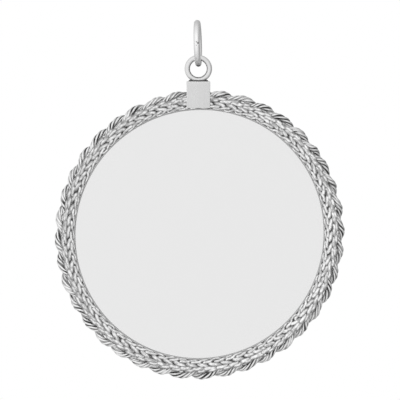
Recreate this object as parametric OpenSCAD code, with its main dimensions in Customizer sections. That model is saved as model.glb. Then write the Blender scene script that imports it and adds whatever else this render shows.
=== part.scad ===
// Round pendant: a plain polished disc held in a bezel, with a four-strand plait on the bezel's face
// and a two-strand rope round its edge. A strap over the top carries a soldered loop, and the loop
// hangs in a jump ring.
// +Z is up, -Y is the front and the origin is the inside top of the jump ring, where a chain passes.
// Each shape is drawn face-on, about the middle of the disc, with X right, Y up and Z to the viewer.

/* [Disc] */
// Diameter of the disc
disc_d = 37; // [36:0.5:38]
// Thickness of the disc
disc_t = 0.9; // [0.8:0.05:1]

/* [Bezel] */
// How far the lips reach over the edge of the disc
lip_cover = 0.26; // [0.2:0.01:0.5]
// Thickness of each lip
lip_t = 0.3; // [0.25:0.05:0.35]
// Diameter of the round bead along the front lip
bead_d = 0.28; // [0.2:0.02:0.3]
// Thickness of the wall between the disc's edge and the rope
wall_t = 0.69; // [0.6:0.01:0.8]
// Slope of the seat under the plait, in degrees
seat_slope = 14; // [10:1:14]

/* [Plait] */
// Diameter of the plait's wire
plait_wire_d = 0.44; // [0.36:0.01:0.44]
// How often the pattern of the plait repeats all the way round
plait_repeats = 70; // [64:1:70]
// Distance between the lanes that the strands move along
lane_w = 0.49; // [0.48:0.01:0.52]
// How far a strand lies above or below the plait's middle where it crosses another
plait_rise = 0.26; // [0.26:0.01:0.3]
// From the bezel's inner edge to the middle of the plait
plait_in = 1.05; // [1.03:0.01:1.07]

/* [Rope] */
// Turns that each strand makes on its way round
rope_turns = 20; // [16:1:20]
// Diameter of one strand
rope_strand_d = 0.97; // [0.8:0.01:0.97]
// From the rope's axis to the middle of a strand
rope_offset = 0.54; // [0.54:0.01:0.58]
// Where a strand first reaches furthest out, in degrees clockwise from the top
rope_peak = 7.6; // [0:0.1:18]

/* [Strap] */
// Width of the strap
strap_w = 3.47; // [3.4:0.01:4]
// Height of the strap
strap_h = 3.92; // [3.8:0.01:4.2]
// Thickness of the strap
strap_t = 0.5; // [0.4:0.05:0.6]
// Radius of the bends at the top of the strap
strap_bend = 0.4; // [0.2:0.05:0.6]
// Clear height over the rope, inside the strap
strap_room = 0.52; // [0.4:0.01:0.8]
// How far the strap stands to the left of the disc's middle
strap_left = 0.1; // [0:0.05:0.2]

/* [Loop] */
// Outside diameter of the loop
loop_d = 4.03; // [3.8:0.01:4.2]
// Diameter of the loop's wire
loop_wire_d = 0.78; // [0.6:0.01:0.8]
// How deep the loop is sunk in the top of the strap
loop_sink = 0.12; // [0.1:0.01:0.3]
// Width of the bed of solder under the loop
bed_w = 2.95; // [2:0.05:3.2]
// Height of the bed of solder above the strap
bed_h = 0.17; // [0.1:0.01:0.3]

/* [Jump ring] */
// Outside diameter of the jump ring
ring_d = 6.88; // [6.4:0.01:7.4]
// Diameter of the jump ring's wire
ring_wire_d = 0.9; // [0.7:0.01:0.9]
// How far the jump ring leans to the left, in degrees
ring_lean = 1.5; // [0:0.5:3]
// How far the jump ring is turned away from edge-on, in degrees
ring_turn = 3; // [0:0.5:4]

/* [Hidden] */
$fn = 96;

// Gaps that keep neighbouring pieces apart
fit_gap = 0.03;
rope_gap = 0.06;
strap_gap = 0.04;
ring_gap = 0.04;

// The slot for the disc, and the bezel's lips
disc_r = disc_d / 2;
slot_r = disc_r + fit_gap;
slot_z = disc_t / 2 + fit_gap;
lip_r = disc_r - lip_cover;
lip_z = slot_z + lip_t;
bead_r = bead_d / 2;

// The rope lies in a hollow outside the wall
rope_strand_r = rope_strand_d / 2;
rope_reach = rope_offset + rope_strand_r;
hollow_r = rope_reach + rope_gap;
rope_r = slot_r + wall_t + hollow_r;

// The back rim stands just behind the rope, between the disc's edge and the rope's middle
rim_over_rope = 0.05;
rim_past_disc = 0.22;
rim_inside_rope = 0.71;
back_z = rope_reach + rim_over_rope;
back_in_r = slot_r + rim_past_disc;
back_out_r = rope_r - rim_inside_rope;

// The seat rises outward from the bead and ends near the rope's middle
seat_inside_rope = 0.21;
seat_in_r = lip_r + bead_r;
seat_out_r = rope_r - seat_inside_rope;
seat_out_z = lip_z + (seat_out_r - seat_in_r) * tan(seat_slope);

// The plait's middle lies half its thickness above the seat
plait_wire_r = plait_wire_d / 2;
plait_mid_r = lip_r + plait_in;
plait_half_t = plait_rise + plait_wire_r;
plait_mid_z = lip_z + (plait_mid_r - seat_in_r) * tan(seat_slope)
    + (plait_half_t + fit_gap) / cos(seat_slope);
along_seat = [cos(seat_slope), sin(seat_slope)];
off_seat = [-sin(seat_slope), cos(seat_slope)];

// A strand waits for one step in each edge lane, and bulges out of it
strands = 4;
middle_lane = (strands - 1) / 2;
steps_a_round = 2 * strands;
step_angle = 180 / plait_repeats;
step_count = 2 * plait_repeats;
edge_bulge = 0.12;
edge_rise = 0.4;
crossings = [1, -1, 1, 0, -1, 1, -1, 0];
step_parts = [0.25, 0.75];
plait_sides = 5;

// Sides of the rope's strands, rings in each of their turns, and the gap between their ends
rope_sides = 7;
rope_rings_a_turn = 8;
rope_end_gap = 3;
rope_rings = floor(rope_turns * rope_rings_a_turn * (360 - rope_end_gap) / 360);

// The rope is laid by hand: how far its lobes lie clockwise of even spacing, at angles round the disc
rope_slips = [
    [0, 1.7], [50, 2.2], [58, -0.3], [197, 0], [236, -0.9], [268, -0.7], [286, -0.1], [360, 1.7]
];

// The strap goes over the plait, the rope and the bezel's back
rope_top = rope_r + rope_reach;
strap_top = rope_top + strap_room + strap_t;
plait_front_z = plait_mid_z + plait_half_t * cos(seat_slope)
    + (middle_lane + edge_bulge) * lane_w * sin(seat_slope);
strap_in_front = plait_front_z + strap_gap;
strap_in_back = back_z + strap_gap;
strap_x = -strap_left;

// How far the opening inside the strap is cut past its lower end
cut_past = 1;

// The loop and the jump ring
loop_wire_r = loop_wire_d / 2;
loop_mid_r = loop_d / 2 - loop_wire_r;
loop_y = strap_top - loop_sink + loop_d / 2;
pivot_y = loop_y + loop_mid_r;
ring_wire_r = ring_wire_d / 2;
ring_mid_r = ring_d / 2 - ring_wire_r;
ring_foot_y = pivot_y - loop_wire_r - ring_wire_r - ring_gap;

// The loop's plane is level with the centre of mass, so that the face hangs upright
loop_z = 0.1;
bed_t = 0.9;

// Facets of the big turned shapes
turned_fn = 180;

// Inside top of the jump ring, where a chain passes
chain_reach = 2 * ring_mid_r - ring_wire_r;
chain_x = strap_x - chain_reach * sin(ring_lean);
chain_y = ring_foot_y + chain_reach * cos(ring_lean);

// Stands face-on shapes upright, with the inside top of the jump ring at the origin
module upright() {
    rotate([90, 0, 0]) translate([-chain_x, -chain_y, -loop_z]) children();
}

function unit(v) = v / norm(v);

// Direction of a path at one of its points
function heading(path, i) =
    let (last = len(path) - 1)
    unit(path[min(i + 1, last)] - path[max(i - 1, 0)]);

// A ring of points round a path's point, square to the path
function ring_points(centre, ahead, up, r, sides) =
    let (side = unit(cross(ahead, up)), top = cross(side, ahead))
    [for (k = [0 : sides - 1]) centre + r * (cos(360 * k / sides) * top + sin(360 * k / sides) * side)];

// A wire of even thickness along a path, as a closed mesh
module wire(path, ups, r, sides) {
    rings = len(path);
    points = [
        for (i = [0 : rings - 1])
            each ring_points(path[i], heading(path, i), ups[i], r, sides)
    ];
    skin = [
        for (i = [0 : rings - 2])
            for (k = [0 : sides - 1])
                let (a = i * sides + k, b = i * sides + (k + 1) % sides)
                each [[a, b + sides, b], [a, a + sides, b + sides]]
    ];
    start_cap = [[for (k = [0 : sides - 1]) k]];
    end_cap = [[for (k = [sides - 1 : -1 : 0]) (rings - 1) * sides + k]];
    polyhedron(points, concat(skin, start_cap, end_cap));
}

// A point at an angle clockwise from the top, at a radius and a height above the disc's middle
function round_point(angle, r, z) = [r * sin(angle), r * cos(angle), z];

// Lane of a strand, counted from the inner edge, t steps after it left the inner lane
function lane_at(t) =
    t < strands - 1 ? t
    : t < strands ? strands - 1 + edge_bulge
    : t < steps_a_round - 1 ? steps_a_round - 1 - t
    : -edge_bulge;

// Height of a strand in its step: over, under, or on its way from one to the other in an edge lane
function rise_at(t) =
    let (step = floor(t), before = (step + steps_a_round - 1) % steps_a_round, after = (step + 1) % steps_a_round)
    crossings[step] != 0 ? crossings[step]
    : edge_rise * (t - step < 0.5 ? crossings[before] : crossings[after]);

// A point on the sloping plait, from its angle, its lane and its height
function plait_point(angle, lane, rise) =
    let (
        across = (lane - middle_lane) * lane_w,
        place = [plait_mid_r, plait_mid_z] + across * along_seat + rise * plait_rise * off_seat
    )
    round_point(angle, place[0], place[1]);

module plait_strand(index) {
    places = [for (step = [0 : step_count - 1]) for (part = step_parts) step + part];
    phases = [for (p = places) (p + 2 * index) % steps_a_round];
    path = [
        for (i = [0 : len(places) - 1])
            plait_point(places[i] * step_angle, lane_at(phases[i]), rise_at(phases[i]))
    ];
    ups = [for (p = places) round_point(p * step_angle, off_seat[0], off_seat[1])];
    color("silver") upright() wire(path, ups, plait_wire_r, plait_sides);
}

module rope_strand(index) {
    even = [for (i = [0 : rope_rings]) rope_end_gap / 2 + i * (360 - rope_end_gap) / rope_rings];
    winds = [for (a = even) rope_turns * (a - rope_peak) + 180 * index];
    angles = [for (a = even) a + lookup(a, rope_slips)];
    path = [
        for (i = [0 : rope_rings])
            round_point(angles[i], rope_r + rope_offset * cos(winds[i]), -rope_offset * sin(winds[i]))
    ];
    ups = [for (i = [0 : rope_rings]) round_point(angles[i], cos(winds[i]), -sin(winds[i]))];
    color("silver") upright() wire(path, ups, rope_strand_r, rope_sides);
}

module disc() {
    color("gainsboro") upright() cylinder(h = disc_t, r = disc_r, center = true, $fn = turned_fn);
}

// A circle of the given radius, turned about the disc's axis at radius r and height z
module turned_circle(r, z, circle_r) {
    rotate_extrude($fn = turned_fn) translate([r, z]) circle(r = circle_r);
}

module bezel_body() {
    rotate_extrude($fn = turned_fn) polygon([
        [lip_r, lip_z], [seat_in_r, lip_z], [seat_out_r, seat_out_z], [seat_out_r, 0],
        [back_out_r, 0], [back_out_r, -back_z], [back_in_r, -back_z], [back_in_r, -lip_z], [lip_r, -lip_z]
    ]);
    turned_circle(seat_in_r, lip_z, bead_r);
}

module bezel() {
    color("silver") upright() difference() {
        bezel_body();
        cylinder(h = 2 * slot_z, r = slot_r, center = true, $fn = turned_fn);
        turned_circle(rope_r, 0, hollow_r);
    }
}

// A square-bottomed outline with two rounded top corners
module round_topped(left, right, bottom, top, corner) {
    translate([left, bottom]) square([right - left, top - corner - bottom]);
    translate([left + corner, bottom]) square([right - left - 2 * corner, top - bottom]);
    translate([left + corner, top - corner]) circle(r = corner);
    translate([right - corner, top - corner]) circle(r = corner);
}

// Side view of the folded strap, drawn with the viewer on the right
module strap_side() {
    back = -strap_in_back - strap_t;
    front = strap_in_front + strap_t;
    bottom = strap_top - strap_h;
    difference() {
        round_topped(back, front, bottom, strap_top, strap_bend);
        translate([-strap_in_back, bottom - cut_past])
            square([strap_in_back + strap_in_front, strap_h - strap_t + cut_past]);
    }
}

module strap() {
    translate([strap_x + strap_w / 2, 0, 0]) rotate([0, -90, 0]) linear_extrude(strap_w) strap_side();
}

// The solder on top of the strap that the loop stands in, rounded at its ends
module solder_bed() {
    for (side = [-1, 1])
        translate([side * (bed_w - bed_t) / 2, 0, 0]) rotate([90, 0, 0])
            cylinder(h = 2 * bed_h, d = bed_t, center = true);
    cube([bed_w - bed_t, 2 * bed_h, bed_t], center = true);
}

module bail() {
    color("silver") upright() {
        strap();
        translate([strap_x, strap_top, loop_z]) solder_bed();
        translate([strap_x, loop_y, loop_z]) rotate_extrude() translate([loop_mid_r, 0]) circle(r = loop_wire_r);
    }
}

module jump_ring() {
    color("silver") upright()
        translate([strap_x, ring_foot_y, loop_z]) rotate([0, 0, ring_lean]) rotate([0, 90 - ring_turn, 0])
            translate([0, ring_mid_r, 0])
                rotate_extrude() translate([ring_mid_r, 0]) circle(r = ring_wire_r);
}

disc();
bezel();
plait_strand(0);  // plait_strand_1
plait_strand(1);  // plait_strand_2
plait_strand(2);  // plait_strand_3
plait_strand(3);  // plait_strand_4
rope_strand(0);  // rope_strand_1
rope_strand(1);  // rope_strand_2
bail();
jump_ring();
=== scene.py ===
import math

import bmesh
import bpy
import numpy as np
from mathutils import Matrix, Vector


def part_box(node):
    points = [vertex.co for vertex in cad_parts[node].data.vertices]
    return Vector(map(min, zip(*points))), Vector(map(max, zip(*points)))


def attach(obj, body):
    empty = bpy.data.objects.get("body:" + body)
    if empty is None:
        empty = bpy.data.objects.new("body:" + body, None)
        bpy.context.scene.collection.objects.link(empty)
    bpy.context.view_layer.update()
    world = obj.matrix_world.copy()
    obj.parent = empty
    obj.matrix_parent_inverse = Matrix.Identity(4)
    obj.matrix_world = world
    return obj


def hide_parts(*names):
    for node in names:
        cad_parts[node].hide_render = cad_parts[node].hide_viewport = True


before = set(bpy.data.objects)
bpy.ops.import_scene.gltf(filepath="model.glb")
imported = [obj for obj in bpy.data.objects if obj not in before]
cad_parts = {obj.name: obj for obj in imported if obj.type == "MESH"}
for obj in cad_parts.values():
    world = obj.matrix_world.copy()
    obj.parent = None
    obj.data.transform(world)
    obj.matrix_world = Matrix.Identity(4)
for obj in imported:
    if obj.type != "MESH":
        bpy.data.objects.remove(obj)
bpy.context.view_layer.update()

MM = 0.001
TAU = 2 * math.pi

# Places taken from the frame
DISC_LOW, DISC_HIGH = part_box("disc")
CENTRE = (DISC_LOW + DISC_HIGH) / 2
BAIL_LOW, BAIL_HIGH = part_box("bail")
RING_LOW, RING_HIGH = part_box("jump_ring")

# Sizes in millimetres, drawn face-on about the disc's middle: X right, Y up, Z to the viewer.
# A name ends in R for a radius, Z for a height over the disc's mid-plane, W for a width, T for a
# thickness and H for a height over what lies below.

# Gap between pieces that touch on the real pendant
FIT_GAP = 0.03

# Disc, its slot and the front lip with a bead along it
DISC_R = (DISC_HIGH.x - DISC_LOW.x) / 2 / MM
DISC_T = (DISC_HIGH.y - DISC_LOW.y) / MM
SLOT_R = DISC_R + FIT_GAP
SLOT_Z = DISC_T / 2 + FIT_GAP
LIP_OVERLAP = 0.26
LIP_T = 0.3
LIP_R = DISC_R - LIP_OVERLAP
LIP_Z = SLOT_Z + LIP_T
BEAD_R = 0.14
BEAD_MID_R = LIP_R + BEAD_R

# Rope: two strands of fine wires, in a hollow round the bezel's edge
# How far it reaches from its middle, its gap to the hollow, and the wall between the hollow and the slot
ROPE_REACH = 1.025
ROPE_GAP = 0.06
BEZEL_WALL = 0.69
HOLLOW_R = ROPE_REACH + ROPE_GAP
ROPE_R = SLOT_R + BEZEL_WALL + HOLLOW_R
ROPE_STRANDS = 2
ROPE_TURNS = 20
# Angle clockwise from the top at which the first strand lies furthest out, before the rope's slips
ROPE_PEAK = math.radians(7.6)
ROPE_END_GAP = math.radians(3)
# The wires of a strand: how many, their radius, their distance from its middle, their turns and their core
ROPE_WIRES = 5
ROPE_WIRE_R = 0.18
ROPE_WIRE_OFFSET = 0.32
ROPE_WIRE_TURNS = 10
ROPE_CORE_R = 0.39
ROPE_STRAND_OFFSET = ROPE_REACH - ROPE_WIRE_R - ROPE_WIRE_OFFSET
# How far the rope's lobes lie clockwise of even spacing: angle round the disc and slip, both in degrees
ROPE_SLIPS = [(0, 1.7), (50, 2.2), (58, -0.3), (197, 0), (236, -0.9), (268, -0.7), (286, -0.1), (360, 1.7)]

# Seat that the plait lies on, which rises outward and ends short of the rope's middle
SEAT_SLOPE = math.radians(14)
SEAT_SHORT = 0.21
SEAT_OUT_R = ROPE_R - SEAT_SHORT
SEAT_OUT_Z = LIP_Z + (SEAT_OUT_R - BEAD_MID_R) * math.tan(SEAT_SLOPE)

# Back of the bezel, a little proud of the rope, from a step outside the slot to short of the rope's middle
BACK_PROUD = 0.05
BACK_STEP = 0.22
BACK_SHORT = 0.71
BACK_EASE = 0.07
BACK_Z = ROPE_REACH + BACK_PROUD
BACK_IN_R = SLOT_R + BACK_STEP
BACK_OUT_R = ROPE_R - BACK_SHORT

# How far the frame is out of round, and how far off the disc's middle: at the lip, and at the rope's edge
OVAL = (0.12, 0.18)
FRAME_RIGHT = (0.07, 0.09)
FRAME_DOWN = (0.05, 0.11)

# Plait: four wires that follow the same course, each a quarter of a cycle further on than the one before
PLAIT_WIRES = 4
PLAIT_CELLS = 70
STEPS_A_CELL = 2
PLAIT_STEPS = STEPS_A_CELL * PLAIT_CELLS
PLAIT_CYCLE = 8
PLAIT_END_GAP = 0.25
PLAIT_LANE_W = 0.49
PLAIT_MIDDLE_LANE = 1.5
# How far a wire's middle rises and dives from the plait's middle
PLAIT_RISE = 0.13
# Half of a wire's width and thickness, and half of the plait's thickness
WIRE_HALF_W = 0.31
WIRE_HALF_T = 0.2
PLAIT_HALF_T = PLAIT_RISE + WIRE_HALF_T
PLAIT_FROM_LIP = 1.05
PLAIT_MID_R = LIP_R + PLAIT_FROM_LIP
PLAIT_MID_Z = (LIP_Z + (PLAIT_MID_R - BEAD_MID_R) * math.tan(SEAT_SLOPE)
               + (PLAIT_HALF_T + FIT_GAP) / math.cos(SEAT_SLOPE))
# Height over the plait's middle from which a wire is pressed flat, and the share of its height that stays
PLAIT_FLAT_H = 0.27
PLAIT_PRESS = 0.45

# Strap, loop, bed of solder under the loop, and jump ring
STRAP_W = 3.47
STRAP_T = 0.5
STRAP_BEND = 0.25
STRAP_INNER_BEND = 0.15
STRAP_CORNER = 0.16
STRAP_EASE = 0.09
LOOP_R = 4.03 / 2
LOOP_WIRE_R = 0.78 / 2
LOOP_SINK = 0.12
BED_W = 2.95
BED_T = 0.9
BED_MIDDLE_H = 0.12
BED_END_H = 0.3
BED_LEAST_H = 0.02
RING_R = 6.88 / 2
RING_WIRE_R = 0.45
RING_LEAN = math.radians(1.5)
RING_TURN = math.radians(3)
# Pits of the ring's soldered joint as seen from the front: X, Y, size and depth
RING_PITS = [(-0.14, 27.94, 0.16, 0.13), (-0.4, 28.12, 0.09, 0.06), (-0.38, 27.6, 0.08, 0.04)]

# The photo: size of a pixel on the object, pixels each way, and the pixel where the disc's middle lies
PIXEL = 0.147
PHOTO_SIZE = 400
DISC_PIXEL = (199.05, 233.65)

# Two lengths this close are taken as one: coarse for places on a section, fine for points on a face
NEAR = 0.01
TOUCH = 1e-4


def to_row(points):
    """Face-on millimetres about the disc's middle, as metres in the row frame."""
    p = np.asarray(points, float) * MM
    return np.stack([CENTRE.x + p[..., 0], CENTRE.y - p[..., 2], CENTRE.z + p[..., 1]], -1)


def unit(v):
    """Vectors of length one."""
    return v / np.linalg.norm(v, axis=-1, keepdims=True)


def smoothstep(low, high, x):
    """From 0 at low to 1 at high, with no corner at either."""
    t = np.clip((np.asarray(x, float) - low) / (high - low), 0, 1)
    return t * t * (3 - 2 * t)


def arc(middle, radius, start, end, count):
    """Points along an arc, with its angles in degrees."""
    turn = np.radians(np.linspace(start, end, count))
    return [(middle[0] + radius * math.cos(t), middle[1] + radius * math.sin(t)) for t in turn]


def round_points(angle, r, z):
    """Points at an angle clockwise from the top, a radius and a height above the disc's middle."""
    return np.stack([r * np.sin(angle), r * np.cos(angle), z + 0 * angle], -1)


# Waves of a wander round the disc: the first, the end and the step between them
WANDER_WAVES = (5, 60, 3)


def wander(angle, seed, size):
    """A smooth chance wander round the disc, of the given size."""
    chance = np.random.default_rng(seed)
    waves = np.arange(*WANDER_WAVES)
    starts = chance.uniform(0, TAU, len(waves))
    total = np.sin(waves[:, None] * angle + starts[:, None]).sum(0)
    return size * total * math.sqrt(2 / len(waves))


def oval(points):
    """The frame's unevenness: longest up to the right and down to the left, and a little low and right."""
    angle = np.arctan2(points[..., 0], points[..., 1])
    r = np.hypot(points[..., 0], points[..., 1])
    places = (LIP_R, ROPE_R + ROPE_REACH)
    more = np.sin(2 * angle) * np.interp(r, places, OVAL) / r
    x = points[..., 0] * (1 + more) + np.interp(r, places, FRAME_RIGHT)
    y = points[..., 1] * (1 + more) - np.interp(r, places, FRAME_DOWN)
    return np.stack([x, y, points[..., 2]], -1)


def mesh_object(name, vertices, faces, painted_shade_and_dull=None):
    """A smooth mesh object from points in the row frame, with each point's painted shade and dullness."""
    mesh = bpy.data.meshes.new(name)
    mesh.from_pydata(vertices.tolist(), [], faces)
    mesh.shade_smooth()
    attribute = mesh.attributes.new("painted_shade_and_dull", "FLOAT", "POINT")
    values = np.zeros(len(vertices)) if painted_shade_and_dull is None else painted_shade_and_dull
    attribute.data.foreach_set("value", values.astype(np.float32))
    mesh.validate()
    obj = bpy.data.objects.new(name, mesh)
    bpy.context.scene.collection.objects.link(obj)
    return obj


def rings_of(path, ups, height, width, sides):
    """Oval rings of points round a path, from half its height and half its width."""
    ahead = unit(np.gradient(path, axis=0))
    side = unit(np.cross(ahead, ups))
    top = np.cross(side, ahead)
    turn = np.arange(sides) * TAU / sides
    raised = height * np.cos(turn)[None, :, None] * top[:, None]
    spread = np.reshape(width, (-1, 1, 1)) * np.sin(turn)[None, :, None] * side[:, None]
    return path[:, None] + raised + spread


def tube_faces(rings, sides, first=0, closed=False):
    """Quads between neighbouring rings, with a cap on each open end."""
    faces = []
    for i in range(rings if closed else rings - 1):
        a = first + i * sides
        b = first + (i + 1) % rings * sides
        for k in range(sides):
            n = (k + 1) % sides
            faces.append((a + k, b + k, b + n, a + n))
    if not closed:
        faces.append(tuple(first + k for k in range(sides)))
        faces.append(tuple(first + (rings - 1) * sides + k for k in reversed(range(sides))))
    return faces


# Plait

# A wire's course over one cycle of eight steps. Each row of a table is a step and the value there.
# Its lane, from 0 for the innermost to 3 for the outermost. At its turns it goes a little past both
LANE_KEYS = [
    (0.0, 0.5), (0.5, 0.64), (1.2, 0.68), (1.28, 0.8), (1.5, 2.25), (1.62, 2.46), (1.95, 2.54),
    (2.8, 2.62), (3.1, 2.88), (3.4, 3.2), (4.15, 3.28), (4.28, 3.1), (4.48, 2.1), (4.62, 1.82),
    (4.85, 1.66), (5.5, 1.5), (5.85, 1.36), (6.12, 1.16), (6.22, 0.9), (6.42, 0.05), (6.6, -0.14),
    (7.2, -0.04), (7.6, 0.14),
]
# Its height, from -1 where it dives under its neighbours to 1 where it lies on them
HEIGHT_KEYS = [
    (0.0, 0.85), (0.25, 1), (1.18, 1), (1.3, -0.5), (1.42, -0.8), (1.55, 0), (1.75, 0.7), (2.1, 1),
    (2.75, 1), (3.0, 0.5), (3.3, 0.5), (3.6, 0.9), (4.1, 0.9), (4.28, -1), (4.45, -1), (4.56, -0.2),
    (4.75, 0.6), (5.0, 1), (6.14, 1), (6.27, -1), (6.42, -0.6), (6.6, 0.1), (7.2, 0.25), (7.6, 0.5),
]
# How wide it is rolled, as a share of its full width
WIDTH_KEYS = [
    (0.0, 0.74), (0.3, 0.76), (1.1, 0.82), (1.3, 1), (3.1, 1), (3.4, 0.8), (4.1, 0.8), (4.35, 1),
    (5.0, 0.98), (6.2, 0.98), (6.5, 0.62), (7.2, 0.62), (7.7, 0.74),
]
# How much darker it is, most of all where it dives or comes up. Below 0 it is lighter
SHADE_KEYS = [
    (0.0, 0.1), (0.3, 0.06), (0.9, 0.04), (1.15, 0.04), (1.28, -0.1), (1.45, -0.1), (1.75, 0.12),
    (2.05, 0.16), (2.3, 0.1), (2.75, 0.02), (2.95, 0.14), (3.04, 0.6), (3.16, 0.7), (3.26, 0.25),
    (3.6, 0.06), (4.1, 0.08), (4.28, 0.2), (4.42, 0.35), (4.5, 0.55), (4.6, 0.4), (4.72, 0.24),
    (5.0, 0.2), (5.3, 0.08), (5.6, 0.0), (6.05, 0.0), (6.2, 0.4), (6.3, 0.4), (6.5, 0.16),
    (6.8, 0.1), (7.4, 0.12), (7.52, 0.36), (7.62, 0.36), (7.75, 0.14),
]
# Samples a step that the tables are read at, and the steps that each corner is rounded over
KEY_SAMPLES = 64
KEY_SMOOTHING = 0.16

# Painted shade low down, full up to the first height over the plait's middle and gone at the second
PLAIT_LOW_SHADE = 0.1
PLAIT_LOW = (-0.16, 0.12)
# Painted shade at a wire's sides, which starts at the first share of its half width and is full at the
# second
PLAIT_SIDE_SHADE = 0.2
PLAIT_EDGE = (0.7, 0.95)
# Painted shade off its crown, full up to the first share of its half thickness and gone at the second
PLAIT_FLANK_SHADE = 0.64
PLAIT_CROWN = (0.8, 0.98)
# The most that they and the shade come to
PLAIT_DARKEST = 0.56
# Chance wanders of a wire: along its course, across it, up and down, in its wear and in its fine streaks
PLAIT_STRAY = 0.09
PLAIT_SWAY = 0.035
PLAIT_HEAVE = 0.025
PLAIT_RUB = 0.07
PLAIT_STREAK = 0.22
# How many times finer than the other wanders the streaks are
PLAIT_STREAK_PACE = 3
# Seeds of the wanders, counted up from here by wire, and the streaks' by side too
SWAY_SEED = 10
HEAVE_SEED = 20
RUB_SEED = 60
STRAY_SEED = 70
STREAK_SEED = 80


def smooth_cycle(keys):
    """Keyed values of one cycle, sampled and rounded off."""
    steps = np.arange(PLAIT_CYCLE * KEY_SAMPLES) / KEY_SAMPLES
    key_steps, key_values = zip(*keys)
    values = np.interp(steps, key_steps, key_values, period=PLAIT_CYCLE)
    # A Hann window is 0 at both ends, so it is made two samples longer
    window = np.hanning(int(KEY_SMOOTHING * KEY_SAMPLES) + 2)
    window /= window.sum()
    wide = np.concatenate([values[-len(window):], values, values[:len(window)]])
    return np.convolve(wide, window, "same")[len(window):-len(window)]


LANES = smooth_cycle(LANE_KEYS)
HEIGHTS = smooth_cycle(HEIGHT_KEYS)
WIDTHS = smooth_cycle(WIDTH_KEYS)
SHADES = smooth_cycle(SHADE_KEYS)
# Directions up the seat and square to it, as radius and height
ALONG_SEAT = np.array([math.cos(SEAT_SLOPE), math.sin(SEAT_SLOPE)])
OFF_SEAT = np.array([-math.sin(SEAT_SLOPE), math.cos(SEAT_SLOPE)])


def plait_strand(index, rings_a_step=14, sides=16):
    """One wire of the plait, its top rolled flat where it passes over its neighbours."""
    steps = np.arange(PLAIT_END_GAP, PLAIT_STEPS - PLAIT_END_GAP, 1 / rings_a_step)
    angle = steps * TAU / PLAIT_STEPS
    further_on = PLAIT_CYCLE // PLAIT_WIRES * index
    phase = (steps + further_on + wander(angle, STRAY_SEED + index, PLAIT_STRAY)) % PLAIT_CYCLE
    places = np.arange(PLAIT_CYCLE * KEY_SAMPLES) / KEY_SAMPLES
    lane = np.interp(phase, places, LANES, period=PLAIT_CYCLE)
    height = np.interp(phase, places, HEIGHTS, period=PLAIT_CYCLE)
    half_w = WIRE_HALF_W * np.interp(phase, places, WIDTHS, period=PLAIT_CYCLE)
    across = (lane - PLAIT_MIDDLE_LANE) * PLAIT_LANE_W + wander(angle, SWAY_SEED + index, PLAIT_SWAY)
    above = height * PLAIT_RISE + wander(angle, HEAVE_SEED + index, PLAIT_HEAVE)
    r = PLAIT_MID_R + across * ALONG_SEAT[0] + above * OFF_SEAT[0]
    z = PLAIT_MID_Z + across * ALONG_SEAT[1] + above * OFF_SEAT[1]
    ups = round_points(angle, np.full_like(angle, OFF_SEAT[0]), OFF_SEAT[1])
    rings = rings_of(round_points(angle, r, z), ups, WIRE_HALF_T, half_w, sides)
    radius = np.hypot(rings[..., 0], rings[..., 1])
    level = (radius - PLAIT_MID_R) * OFF_SEAT[0] + (rings[..., 2] - PLAIT_MID_Z) * OFF_SEAT[1]
    pressed = np.where(level > PLAIT_FLAT_H, PLAIT_FLAT_H + PLAIT_PRESS * (level - PLAIT_FLAT_H), level)
    rings = rings + (pressed - level)[..., None] * ups[:, None]

    # Painted shade: low down, at the wire's sides, off its crown and where it dives or comes up, with chance
    # streaks of tone
    turn = np.arange(sides) * TAU / sides
    side, crown = abs(np.sin(turn)), np.cos(turn)
    painted_shade_and_dull = PLAIT_LOW_SHADE * (1 - smoothstep(*PLAIT_LOW, pressed))
    painted_shade_and_dull += PLAIT_SIDE_SHADE * smoothstep(*PLAIT_EDGE, side)
    painted_shade_and_dull += PLAIT_FLANK_SHADE * (1 - smoothstep(*PLAIT_CROWN, crown))
    shade = np.interp(phase, places, SHADES, period=PLAIT_CYCLE)
    shade = shade + wander(angle, RUB_SEED + index, PLAIT_RUB)
    painted_shade_and_dull += shade[:, None]
    first_seed = STREAK_SEED + sides * index
    streaks = [wander(PLAIT_STREAK_PACE * angle, first_seed + k, PLAIT_STREAK) for k in range(sides)]
    painted_shade_and_dull += np.stack(streaks, 1)
    painted_shade_and_dull = np.clip(painted_shade_and_dull, 0, PLAIT_DARKEST)
    points = to_row(oval(rings.reshape(-1, 3)))
    return mesh_object(f"plait_wire_{index + 1}", points, tube_faces(len(steps), sides), painted_shade_and_dull.ravel())


# Rope

# Painted shade in the lines between the wires, full up to the first distance from a strand's middle and gone
# at the second, and the least and most that it comes to round the rope
ROPE_LINE_SHADE = 0.7
ROPE_LINE_DEPTH = (0.41, 0.47)
ROPE_LINE_LIMITS = (0.1, 1)
# Painted shade on a strand where it lies at the back, and the sines of its wind where that starts and is
# full
ROPE_UNDER_SHADE = 0.35
ROPE_UNDER = (0.55, 1.0)
# Painted shade on the side towards the disc, full up to the first radius and gone at the second
ROPE_INNER_SHADE = 0.1
ROPE_INNER = (20.3, 20.75)
# Chance wanders: of the strands' wind and of their spread, of the wires' twist, and of the lines' painted
# shade
ROPE_WIND_STRAY = 0.12
ROPE_SPREAD_STRAY = 0.035
ROPE_WIRE_STRAY = 0.12
ROPE_LINE_SHADE_STRAY = 0.35
# Seeds of the wanders. The wires' are counted up by strand and wire, the line shade's by strand
WIND_SEED = 30
SPREAD_SEED = 31
WIRE_SEED = 40
WIRE_SEEDS_A_STRAND = 10
LINE_SHADE_SEED = 50


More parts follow.
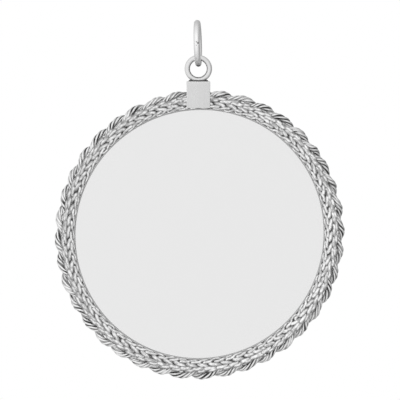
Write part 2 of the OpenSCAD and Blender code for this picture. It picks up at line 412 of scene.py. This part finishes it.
def rope_strand(index, count=1144, sides=10):
    """One strand of the rope, a bundle of fine wires twisted the same way as the rope."""
    even = np.linspace(ROPE_END_GAP / 2, TAU - ROPE_END_GAP / 2, count)
    slip_places, slips = zip(*ROPE_SLIPS)
    angle = even + np.radians(np.interp(np.degrees(even), slip_places, slips))
    wind = ROPE_TURNS * (even - ROPE_PEAK) + TAU / ROPE_STRANDS * index
    wind = wind + wander(even, WIND_SEED, ROPE_WIND_STRAY)
    offset = ROPE_STRAND_OFFSET * (1 + wander(even, SPREAD_SEED, ROPE_SPREAD_STRAY))
    middle = round_points(angle, ROPE_R + offset * np.cos(wind), -offset * np.sin(wind))
    outward = round_points(angle, np.cos(wind), -np.sin(wind))
    ahead = unit(np.gradient(middle, axis=0))
    side = unit(np.cross(ahead, outward))
    top = np.cross(side, ahead)

    core = rings_of(middle, outward, ROPE_CORE_R, ROPE_CORE_R, sides)
    # Painted shade: in the lines between the wires, where a strand lies at the back, and on the side towards
    # the disc
    line_shade = ROPE_LINE_SHADE + wander(even, LINE_SHADE_SEED + index, ROPE_LINE_SHADE_STRAY)
    line_shade = np.clip(line_shade, *ROPE_LINE_LIMITS)[:, None]
    under = ROPE_UNDER_SHADE * smoothstep(*ROPE_UNDER, np.sin(wind))[:, None]
    vertices = [to_row(oval(core.reshape(-1, 3)))]
    faces = tube_faces(count, sides)
    painted_shade_and_dull = [np.repeat(np.maximum(line_shade, under), sides, axis=1).ravel()]
    for wire in range(ROPE_WIRES):
        stray = wander(even, WIRE_SEED + WIRE_SEEDS_A_STRAND * index + wire, ROPE_WIRE_STRAY)
        turn = (-ROPE_WIRE_TURNS * even + wire * TAU / ROPE_WIRES + stray)[:, None]
        spoke = np.cos(turn) * top + np.sin(turn) * side
        rings = rings_of(middle + ROPE_WIRE_OFFSET * spoke, spoke, ROPE_WIRE_R, ROPE_WIRE_R, sides)
        faces += tube_faces(count, sides, first=len(vertices) * count * sides)
        depth = np.linalg.norm(rings - middle[:, None], axis=-1)
        vertices.append(to_row(oval(rings.reshape(-1, 3))))
        inner = 1 - smoothstep(*ROPE_INNER, np.hypot(rings[..., 0], rings[..., 1]))
        in_line = line_shade * (1 - smoothstep(*ROPE_LINE_DEPTH, depth))
        dark = np.maximum(in_line, np.maximum(ROPE_INNER_SHADE * inner, under))
        painted_shade_and_dull.append(dark.ravel())
    return mesh_object(f"rope_wires_{index + 1}", np.concatenate(vertices), faces, np.concatenate(painted_shade_and_dull))


# Bezel

# Painted shade: on the lip and the inner half of its bead as a dark line round the disc, on the seat under
# the plait and in the slot
LIP_SHADE = 0.5
SEAT_SHADE = 0.45
SEAT_EDGE_SHADE = 0.15
# Lane from the plait's middle where the seat is darkest, and the lanes from there between which that fades
SEAT_DARK_LANE = -0.15
SEAT_FADE = (0.3, 0.8)
# Share of the bead's radius past its middle where the seat's painted shade starts
SEAT_START = 0.9
# Lanes from the plait's middle at which the seat has a ring of points
SEAT_LANES = (-1, -0.4, 0.1, 0.6)
# Where the middle point of a broken corner lies, as a share of the corner's ease
CORNER_SHARE = 0.3
# How far out past BACK_IN_R the back stays truly round, as the disc is
BACK_ROUND = 0.1
# Points along the bead and along the rope's hollow
BEAD_POINTS = 12
HOLLOW_POINTS = 16


def back_outline():
    """The back of the bezel's section, from the rope's hollow inward to the slot, its corners broken."""
    ease = BACK_EASE
    middle = ease * CORNER_SHARE
    return [
        (BACK_OUT_R, -BACK_Z + ease), (BACK_OUT_R - middle, -BACK_Z + middle), (BACK_OUT_R - ease, -BACK_Z),
        (BACK_IN_R + ease, -BACK_Z), (BACK_IN_R + middle, -BACK_Z + middle), (BACK_IN_R, -BACK_Z + ease),
        (BACK_IN_R, -LIP_Z), (LIP_R + ease, -LIP_Z), (LIP_R, -LIP_Z + ease), (LIP_R, -SLOT_Z),
        (SLOT_R, -SLOT_Z), (SLOT_R, SLOT_Z),
    ]


def bezel_outline():
    """The bezel's section as radius and height, from the front lip outward and round the back."""
    front_rise = math.sqrt(HOLLOW_R ** 2 - (ROPE_R - SEAT_OUT_R) ** 2)
    hollow_front = 180 - math.degrees(math.asin(front_rise / HOLLOW_R))
    hollow_back = 180 + math.degrees(math.acos((ROPE_R - BACK_OUT_R) / HOLLOW_R))
    seat_places = [PLAIT_MID_R + lane * PLAIT_LANE_W for lane in SEAT_LANES]
    return (
        [(LIP_R, SLOT_Z)]
        + arc((BEAD_MID_R, LIP_Z), BEAD_R, 180, math.degrees(SEAT_SLOPE), BEAD_POINTS)
        + [(r, LIP_Z + (r - BEAD_MID_R) * math.tan(SEAT_SLOPE)) for r in seat_places]
        + [(SEAT_OUT_R, SEAT_OUT_Z)]
        + arc((ROPE_R, 0), HOLLOW_R, hollow_front, hollow_back, HOLLOW_POINTS)
        + back_outline()
    )


def bezel(segments=240):
    """The bezel turned about the disc's axis, then out of round but for its slot's wall and inner back."""
    outline = np.array(bezel_outline())
    r, z = outline[:, 0], outline[:, 1]
    sides = len(outline)
    angle = np.arange(segments) * TAU / segments
    rings = np.stack([round_points(angle, np.full_like(angle, place), rise) for place, rise in outline], 1)
    in_slot = abs(z) < SLOT_Z + NEAR
    wall = in_slot & (abs(r - SLOT_R) < NEAR)
    back = (z < 0) & (r < BACK_IN_R + BACK_ROUND)
    rings = np.where((wall | back)[None, :, None], rings, oval(rings))

    # Painted shade on the seat, darkest under the plait's middle, and in the slot and on the lip
    seat = (r > BEAD_MID_R + BEAD_R * SEAT_START) & (z > 0)
    slot = in_slot & (r < SLOT_R + NEAR)
    lane = abs((r - PLAIT_MID_R) / PLAIT_LANE_W - SEAT_DARK_LANE)
    on_seat = SEAT_EDGE_SHADE + (SEAT_SHADE - SEAT_EDGE_SHADE) * (1 - smoothstep(*SEAT_FADE, lane))
    on_lip = LIP_SHADE * (r < BEAD_MID_R) * (z > 0)
    painted_shade_and_dull = np.tile(np.where(seat, on_seat, np.where(slot, SEAT_SHADE, on_lip)), segments)
    points = to_row(rings.reshape(-1, 3))
    return mesh_object("bezel_turned", points, tube_faces(segments, sides, closed=True), painted_shade_and_dull)


# Bail

STRAP_DULL = 0.235
STRAP_BEND_TARNISH = 0.15
# Edges of the strap that turn by more than this are eased
STRAP_SHARP = math.radians(50)
# Points along each bend of the strap, outside and inside
STRAP_BEND_POINTS = 8
STRAP_INNER_POINTS = 5
# The loop's wire has painted shade over its face inside the outer rim, and more in its eye. Each pair,
# counted from -1 at the rim to
# 1 in the eye, is where that starts and is full
LOOP_FACE_SHADE = 0.14
LOOP_FACE = (-0.9, -0.4)
LOOP_EYE_SHADE = 0.8
LOOP_EYE = (0.55, 0.95)
# Painted shade at the loop's foot, full up to the first height over the strap and gone at the second
LOOP_FOOT_SHADE = 0.9
LOOP_FOOT = (0.16, 0.3)
# Painted shadow on the solder at its middle and its ends, and the shares of its half width where it changes
BED_SHADE = (0.75, 1.0)
BED_DARKENS = (0.45, 0.85)
# How square the bed's ends are, seen from the front and from above, and how much it narrows in depth there
BED_FRONT_POWER = 12
BED_TOP_POWER = 8
BED_NARROWING = 0.6
# How far the bed's edges turn in under it, in radians
BED_UNDERCUT = 0.1
# How far in front of the disc's middle the loop's plane lies, which is Y = 0 in the row frame
LOOP_Z = CENTRE.y / MM


def torus(middle, radius, wire_r, axes, around=120, sides=28):
    """Rings of points of a torus; axes are its two directions in the plane and its axis."""
    angle = np.arange(around) * TAU / around
    turn = np.arange(sides) * TAU / sides
    out = np.cos(angle)[:, None] * axes[0] + np.sin(angle)[:, None] * axes[1]
    spoke = np.cos(turn)[None, :, None] * out[:, None] + np.sin(turn)[None, :, None] * axes[2]
    return middle + radius * out[:, None] + wire_r * spoke


def strap_outline(top):
    """The folded strap from the side, as height and depth to the viewer, outside first and then inside."""
    front = (CENTRE.y - BAIL_LOW.y) / MM
    back = (CENTRE.y - BAIL_HIGH.y) / MM
    bottom = (BAIL_LOW.z - CENTRE.z) / MM
    bend, inner = STRAP_BEND, STRAP_INNER_BEND
    inside_top, inside_front, inside_back = top - STRAP_T, front - STRAP_T, back + STRAP_T
    return (
        [(bottom, front)]
        + arc((top - bend, front - bend), bend, 90, 0, STRAP_BEND_POINTS)
        + arc((top - bend, back + bend), bend, 0, -90, STRAP_BEND_POINTS)
        + [(bottom, back), (bottom, inside_back)]
        + arc((inside_top - inner, inside_back + inner), inner, -90, 0, STRAP_INNER_POINTS)
        + arc((inside_top - inner, inside_front - inner), inner, 0, 90, STRAP_INNER_POINTS)
        + [(bottom, inside_front)]
    )


def strap(strap_x, top):
    """Points, faces and tarnish of the strap, its lower corners rounded and its edges eased."""
    bm = bmesh.new()
    outline = [bm.verts.new((strap_x - STRAP_W / 2, y, z)) for y, z in strap_outline(top)]
    face = bm.faces.new(outline)
    grown = bmesh.ops.extrude_face_region(bm, geom=[face])
    for v in grown["geom"]:
        if isinstance(v, bmesh.types.BMVert):
            v.co.x += STRAP_W
    bmesh.ops.recalc_face_normals(bm, faces=bm.faces)
    bottom = min(v.co.y for v in bm.verts)
    low_edges = [e for e in bm.edges if all(abs(v.co.y - bottom) < TOUCH for v in e.verts)]
    corners = [e for e in low_edges if abs(e.verts[0].co.z - e.verts[1].co.z) > STRAP_T / 2]
    bmesh.ops.bevel(bm, geom=corners, offset=STRAP_CORNER, segments=4, affect="EDGES", profile=0.5)
    sharp = [e for e in bm.edges if len(e.link_faces) == 2 and e.calc_face_angle() > STRAP_SHARP]
    bmesh.ops.bevel(bm, geom=sharp, offset=STRAP_EASE, segments=3, affect="EDGES", profile=0.5)
    bmesh.ops.triangulate(bm, faces=[f for f in bm.faces if len(f.verts) > 4])
    bm.verts.index_update()
    points = np.array([v.co[:] for v in bm.verts])
    faces = [tuple(v.index for v in f.verts) for f in bm.faces]
    bm.free()

    low, high = points.min(0), points.max(0)
    flat = (np.minimum(points - low, high - points) < TOUCH).any(1)
    bent = (points[:, 1] > high[1] - STRAP_BEND) & (points[:, 1] < high[1] - NEAR)
    return points, faces, np.where(flat, STRAP_DULL, np.where(bent, STRAP_BEND_TARNISH, 0.0))


def loop(strap_x, top, first):
    """Points, faces and painted shade of the loop on top of the strap; first is the number of its first
    point.
    """
    middle = np.array([strap_x, (BAIL_HIGH.z - CENTRE.z) / MM - LOOP_R, LOOP_Z])
    mid_r = LOOP_R - LOOP_WIRE_R
    rings = torus(middle, mid_r, LOOP_WIRE_R, np.eye(3))
    around, sides = rings.shape[:2]
    points = rings.reshape(-1, 3)
    # Painted shade over the face inside the outer rim, more in the eye, and at the foot on the strap
    inward = (mid_r - np.hypot(points[:, 0] - middle[0], points[:, 1] - middle[1])) / LOOP_WIRE_R
    painted_shade_and_dull = LOOP_FACE_SHADE * smoothstep(*LOOP_FACE, inward)
    painted_shade_and_dull += (LOOP_EYE_SHADE - LOOP_FACE_SHADE) * smoothstep(*LOOP_EYE, inward)
    near = 1 - smoothstep(*LOOP_FOOT, points[:, 1] - top)
    painted_shade_and_dull = np.maximum(painted_shade_and_dull, LOOP_FOOT_SHADE * near)
    return points, tube_faces(around, sides, first=first, closed=True), painted_shade_and_dull


def solder_bed(strap_x, top, first, around=40, along=60):
    """Points, faces and painted shadow of the solder under the loop, drawn up the loop's wire at both ends.
    """
    x = np.linspace(-1, 1, along)
    height = BED_MIDDLE_H + (BED_END_H - BED_MIDDLE_H) * x ** 2
    height = height * np.sqrt(1 - np.abs(x) ** BED_FRONT_POWER)
    turn = np.linspace(-BED_UNDERCUT, math.pi + BED_UNDERCUT, around)
    depth = BED_T / 2 * np.sqrt(1 - BED_NARROWING * x[:, None] ** BED_TOP_POWER)
    points = np.stack([
        np.broadcast_to(strap_x + x[:, None] * BED_W / 2, (along, around)),
        top + np.maximum(height, BED_LEAST_H)[:, None] * np.sin(turn),
        LOOP_Z + depth * np.cos(turn),
    ], -1)
    # Painted shadow under the loop, darkest at the solder's ends
    middle_shade, end_shade = BED_SHADE
    grown = smoothstep(*BED_DARKENS, np.abs(x))
    painted_shade_and_dull = np.repeat(middle_shade + (end_shade - middle_shade) * grown, around)
    return points.reshape(-1, 3), tube_faces(along, around, first=first), painted_shade_and_dull


def bail():
    """The strap, the loop and the solder between them."""
    strap_x = ((BAIL_LOW.x + BAIL_HIGH.x) / 2 - CENTRE.x) / MM
    top = (BAIL_HIGH.z - CENTRE.z) / MM - 2 * LOOP_R + LOOP_SINK
    strap_points, strap_faces, strap_tarnish = strap(strap_x, top)
    loop_points, loop_faces, loop_shade = loop(strap_x, top, len(strap_points))
    first = len(strap_points) + len(loop_points)
    bed_points, bed_faces, bed_shade = solder_bed(strap_x, top, first)
    points = np.concatenate([strap_points, loop_points, bed_points])
    painted_shade_and_dull = np.concatenate([strap_tarnish, loop_shade, bed_shade])
    return mesh_object("bail_soldered", to_row(points), strap_faces + loop_faces + bed_faces, painted_shade_and_dull)


# Jump ring

# Painted shade at the ring's foot and its top, and the heights over the foot between which each changes
RING_FOOT_SHADE = 1.0
RING_FOOT = (0.08, 0.38)
RING_TOP_SHADE = 0.03
RING_TOP = (5.6, 6.3)
# Shares of a pit's depth between which it darkens
PIT_DARKENS = (0.3, 0.8)


def jump_ring():
    """The jump ring, with its soldered joint at the front."""
    middle = np.array((RING_LOW + RING_HIGH) / 2) / MM - np.array(CENTRE) / MM
    middle = np.array([middle[0], middle[2], -middle[1]])
    lean, turn = RING_LEAN, math.pi / 2 - RING_TURN
    up = np.array([-math.sin(lean), math.cos(lean), 0])
    right = np.array([math.cos(lean), math.sin(lean), 0])
    front = np.array([0, 0, 1.0])
    across = math.cos(turn) * right - math.sin(turn) * front
    axis = math.sin(turn) * right + math.cos(turn) * front
    axes = np.array([across, up, axis])
    rings = torus(middle, RING_R - RING_WIRE_R, RING_WIRE_R, axes, around=240, sides=48)
    around, sides = rings.shape[:2]
    points = rings.reshape(-1, 3)
    foot = middle - RING_R * up
    height = (points - foot) @ up
    # Painted shade at the foot and the top; the pits darken with their depth
    painted_shade_and_dull = RING_FOOT_SHADE * (1 - smoothstep(*RING_FOOT, height))
    painted_shade_and_dull += RING_TOP_SHADE * smoothstep(*RING_TOP, height)
    for x, y, size, depth in RING_PITS:
        away = np.hypot(points[:, 0] - x, points[:, 1] - y) / size
        pit = np.where(points[:, 2] > 0, np.exp(-away ** 2), 0)
        points = points - (depth * pit)[:, None] * front
        painted_shade_and_dull = np.maximum(painted_shade_and_dull, smoothstep(*PIT_DARKENS, pit))
    return mesh_object("jump_ring_wire", to_row(points), tube_faces(around, sides, closed=True), painted_shade_and_dull)


# Materials

# What the full mask of painted shade and dullness does to the metal: its colour, how metallic it stays and
# how much rougher it is
SHADE_AND_DULL_GREY = 0.03
SHADE_AND_DULL_METALLIC = 0.2
SHADE_AND_DULL_ROUGHNESS = 0.35
# How far the fine grain takes the roughness either way, as a share of it, and how deep it is in metres
GRAIN_ROUGHNESS = 0.2
GRAIN_DEPTH = 0.00001
# The part of a noise's values that its effect is stretched over, for the fine grain and for the broad clouds
GRAIN_RANGE = (0.3, 0.7)
CLOUD_RANGE = (0.35, 0.65)


def ramp(tree, value, low, high, to_low, to_high):
    """A node output that goes from to_low to to_high as a value goes from low to high."""
    made = tree.nodes.new("ShaderNodeMapRange")
    tree.links.new(value, made.inputs["Value"])
    for name, number in zip(("From Min", "From Max", "To Min", "To Max"), (low, high, to_low, to_high)):
        made.inputs[name].default_value = number
    return made.outputs["Result"]


def noise(tree, scale, detail=2, place=None):
    """The values of a noise texture."""
    made = tree.nodes.new("ShaderNodeTexNoise")
    made.inputs["Scale"].default_value = scale
    made.inputs["Detail"].default_value = detail
    if place is not None:
        tree.links.new(place, made.inputs["Vector"])
    return made.outputs["Fac"]


def mix(tree, share, first, second):
    """A colour between two, each of them a grey or the output of another node."""
    made = tree.nodes.new("ShaderNodeMix")
    made.data_type = "RGBA"
    tree.links.new(share, made.inputs["Factor"])
    for name, part in (("A", first), ("B", second)):
        if isinstance(part, bpy.types.NodeSocket):
            tree.links.new(part, made.inputs[name])
        else:
            made.inputs[name].default_value = (part, part, part, 1)
    return made.outputs["Result"]


def metal(name, roughness, grey, grey_spread=0.015, cloud=420, brush=(1, 1, 1), grain=2500, bump=0.15):
    """Silver with a fine grain, darkened by each point's painted shade and dullness."""
    material = bpy.data.materials.new(name)
    material.use_nodes = True
    tree = material.node_tree
    shader = tree.nodes["Principled BSDF"]
    place = tree.nodes.new("ShaderNodeTexCoord").outputs["Object"]
    stretch = tree.nodes.new("ShaderNodeMapping")
    stretch.inputs["Scale"].default_value = brush
    tree.links.new(place, stretch.inputs["Vector"])
    fine = noise(tree, grain, detail=4, place=stretch.outputs["Vector"])
    broad = noise(tree, cloud, detail=3, place=place)
    # The mask of painted shade and dullness darkens the colour, lowers the metallic and adds roughness
    mask = tree.nodes.new("ShaderNodeAttribute")
    mask.attribute_name = "painted_shade_and_dull"
    painted_shade_and_dull = mask.outputs["Fac"]

    clean = mix(tree, ramp(tree, broad, *CLOUD_RANGE, 0, 1), grey - grey_spread, grey + grey_spread)
    tree.links.new(mix(tree, painted_shade_and_dull, clean, SHADE_AND_DULL_GREY), shader.inputs["Base Color"])
    tree.links.new(ramp(tree, painted_shade_and_dull, 0, 1, 1, SHADE_AND_DULL_METALLIC), shader.inputs["Metallic"])

    smoothest, roughest = roughness * (1 - GRAIN_ROUGHNESS), roughness * (1 + GRAIN_ROUGHNESS)
    rough = tree.nodes.new("ShaderNodeMath")
    rough.operation = "ADD"
    tree.links.new(ramp(tree, fine, *GRAIN_RANGE, smoothest, roughest), rough.inputs[0])
    tree.links.new(ramp(tree, painted_shade_and_dull, 0, 1, 0, SHADE_AND_DULL_ROUGHNESS), rough.inputs[1])
    tree.links.new(rough.outputs["Value"], shader.inputs["Roughness"])

    relief = tree.nodes.new("ShaderNodeBump")
    relief.inputs["Strength"].default_value = bump
    relief.inputs["Distance"].default_value = GRAIN_DEPTH
    tree.links.new(fine, relief.inputs["Height"])
    tree.links.new(relief.outputs["Normal"], shader.inputs["Normal"])
    return material


def dress(obj, material):
    """Give an object one material."""
    obj.data.materials.clear()
    obj.data.materials.append(material)


# Stage, in metres

FLOOR_HALF = 0.6
FLOOR_DROP = 0.035
FLOOR_GREYS = (0.86, 0.9)
FLOOR_CLOUD = 40
FLOOR_ROUGHNESS = 0.8
CAMERA_DISTANCE = 0.9
CAMERA_CLIP = (0.01, 10)
# Width of the camera's sensor, in millimetres
SENSOR_W = 36
# Light from each direction, as a sum: the direction's axis, two places on it, and the light at each
TENT_LIGHT = [
    ("Z", -0.9, 0.9, 0.665, 0.78),
    ("X", -0.9, 0.9, 0.14, -0.14),
    ("Y", -0.3, -0.95, 0, 0.27),
    ("Y", -0.1, 0.6, 0, -0.24),
    ("X", 0.8, 1.0, 0, -0.2),
]
# Light that the camera itself sees behind the pendant
BACKDROP_LIGHT = 1.0


def stage_floor():
    """A plain pale floor below the pendant, its edge far outside the view."""
    half = FLOOR_HALF
    drop = DISC_LOW.z - FLOOR_DROP
    points = np.array([(-half, -half, drop), (half, -half, drop), (half, half, drop), (-half, half, drop)])
    floor = mesh_object("floor", points, [(0, 1, 2, 3)])
    material = bpy.data.materials.new("pale_floor")
    material.use_nodes = True
    tree = material.node_tree
    shader = tree.nodes["Principled BSDF"]
    tree.links.new(mix(tree, noise(tree, FLOOR_CLOUD), *FLOOR_GREYS), shader.inputs["Base Color"])
    shader.inputs["Roughness"].default_value = FLOOR_ROUGHNESS
    dress(floor, material)
    floor.visible_glossy = False


def studio_light():
    """A white tent, brightest in front and to the left, dimmer to the right, behind and below."""
    world = bpy.data.worlds.new("tent")
    bpy.context.scene.world = world
    world.use_nodes = True
    tree = world.node_tree
    background = tree.nodes["Background"]
    direction = tree.nodes.new("ShaderNodeTexCoord").outputs["Generated"]
    split = tree.nodes.new("ShaderNodeSeparateXYZ")
    tree.links.new(direction, split.inputs["Vector"])
    parts = [ramp(tree, split.outputs[axis], *places) for axis, *places in TENT_LIGHT]
    total = parts[0]
    for part in parts[1:]:
        add = tree.nodes.new("ShaderNodeMath")
        add.operation = "ADD"
        tree.links.new(total, add.inputs[0])
        tree.links.new(part, add.inputs[1])
        total = add.outputs["Value"]
    seen = tree.nodes.new("ShaderNodeLightPath").outputs["Is Camera Ray"]
    choose = tree.nodes.new("ShaderNodeMix")
    choose.data_type = "FLOAT"
    tree.links.new(seen, choose.inputs["Factor"])
    tree.links.new(total, choose.inputs["A"])
    choose.inputs["B"].default_value = BACKDROP_LIGHT
    tree.links.new(choose.outputs["Result"], background.inputs["Strength"])
    background.inputs["Color"].default_value = (1, 1, 1, 1)


def photo_camera():
    """A long lens straight in front, framed as the photo is."""
    data = bpy.data.cameras.new("camera")
    data.sensor_width = SENSOR_W
    data.lens = SENSOR_W * CAMERA_DISTANCE / (PHOTO_SIZE * PIXEL * MM)
    data.clip_start, data.clip_end = CAMERA_CLIP
    camera = bpy.data.objects.new("camera", data)
    bpy.context.scene.collection.objects.link(camera)
    x = CENTRE.x + (PHOTO_SIZE / 2 - DISC_PIXEL[0]) * PIXEL * MM
    z = CENTRE.z + (DISC_PIXEL[1] - PHOTO_SIZE / 2) * PIXEL * MM
    camera.location = (x, CENTRE.y - CAMERA_DISTANCE, z)
    camera.rotation_euler = (math.pi / 2, 0, 0)
    bpy.context.scene.camera = camera


# Assembly

plait_metal = metal("plait_silver", roughness=0.14, grey=0.96, grey_spread=0.16, cloud=4500)
rope_metal = metal("rope_silver", roughness=0.1, grey=0.97, grey_spread=0.08, cloud=3500)
polished = metal("polished_silver", roughness=0.14, grey=0.9)
ring_metal = metal("ring_silver", roughness=0.3, grey=0.97)
strap_metal = metal("strap_silver", roughness=0.22, grey=0.93, grey_spread=0.008, brush=(1, 1, 0.15))
disc_metal = metal("disc_silver", roughness=0.15, grey=0.828, grey_spread=0.001, bump=0)

for i in range(PLAIT_WIRES):
    strand = plait_strand(i)
    dress(strand, plait_metal)
    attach(strand, "pendant")
    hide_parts(f"plait_strand_{i + 1}")

for i in range(ROPE_STRANDS):
    strand = rope_strand(i)
    dress(strand, rope_metal)
    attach(strand, "pendant")
    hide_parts(f"rope_strand_{i + 1}")

turned = bezel()
dress(turned, polished)
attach(turned, "pendant")
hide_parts("bezel")

soldered = bail()
dress(soldered, strap_metal)
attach(soldered, "pendant")
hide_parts("bail")

ring = jump_ring()
dress(ring, ring_metal)
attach(ring, "jump_ring")
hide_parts("jump_ring")

dress(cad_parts["disc"], disc_metal)

stage_floor()
studio_light()
photo_camera()
bpy.context.scene.view_settings.view_transform = "Standard"
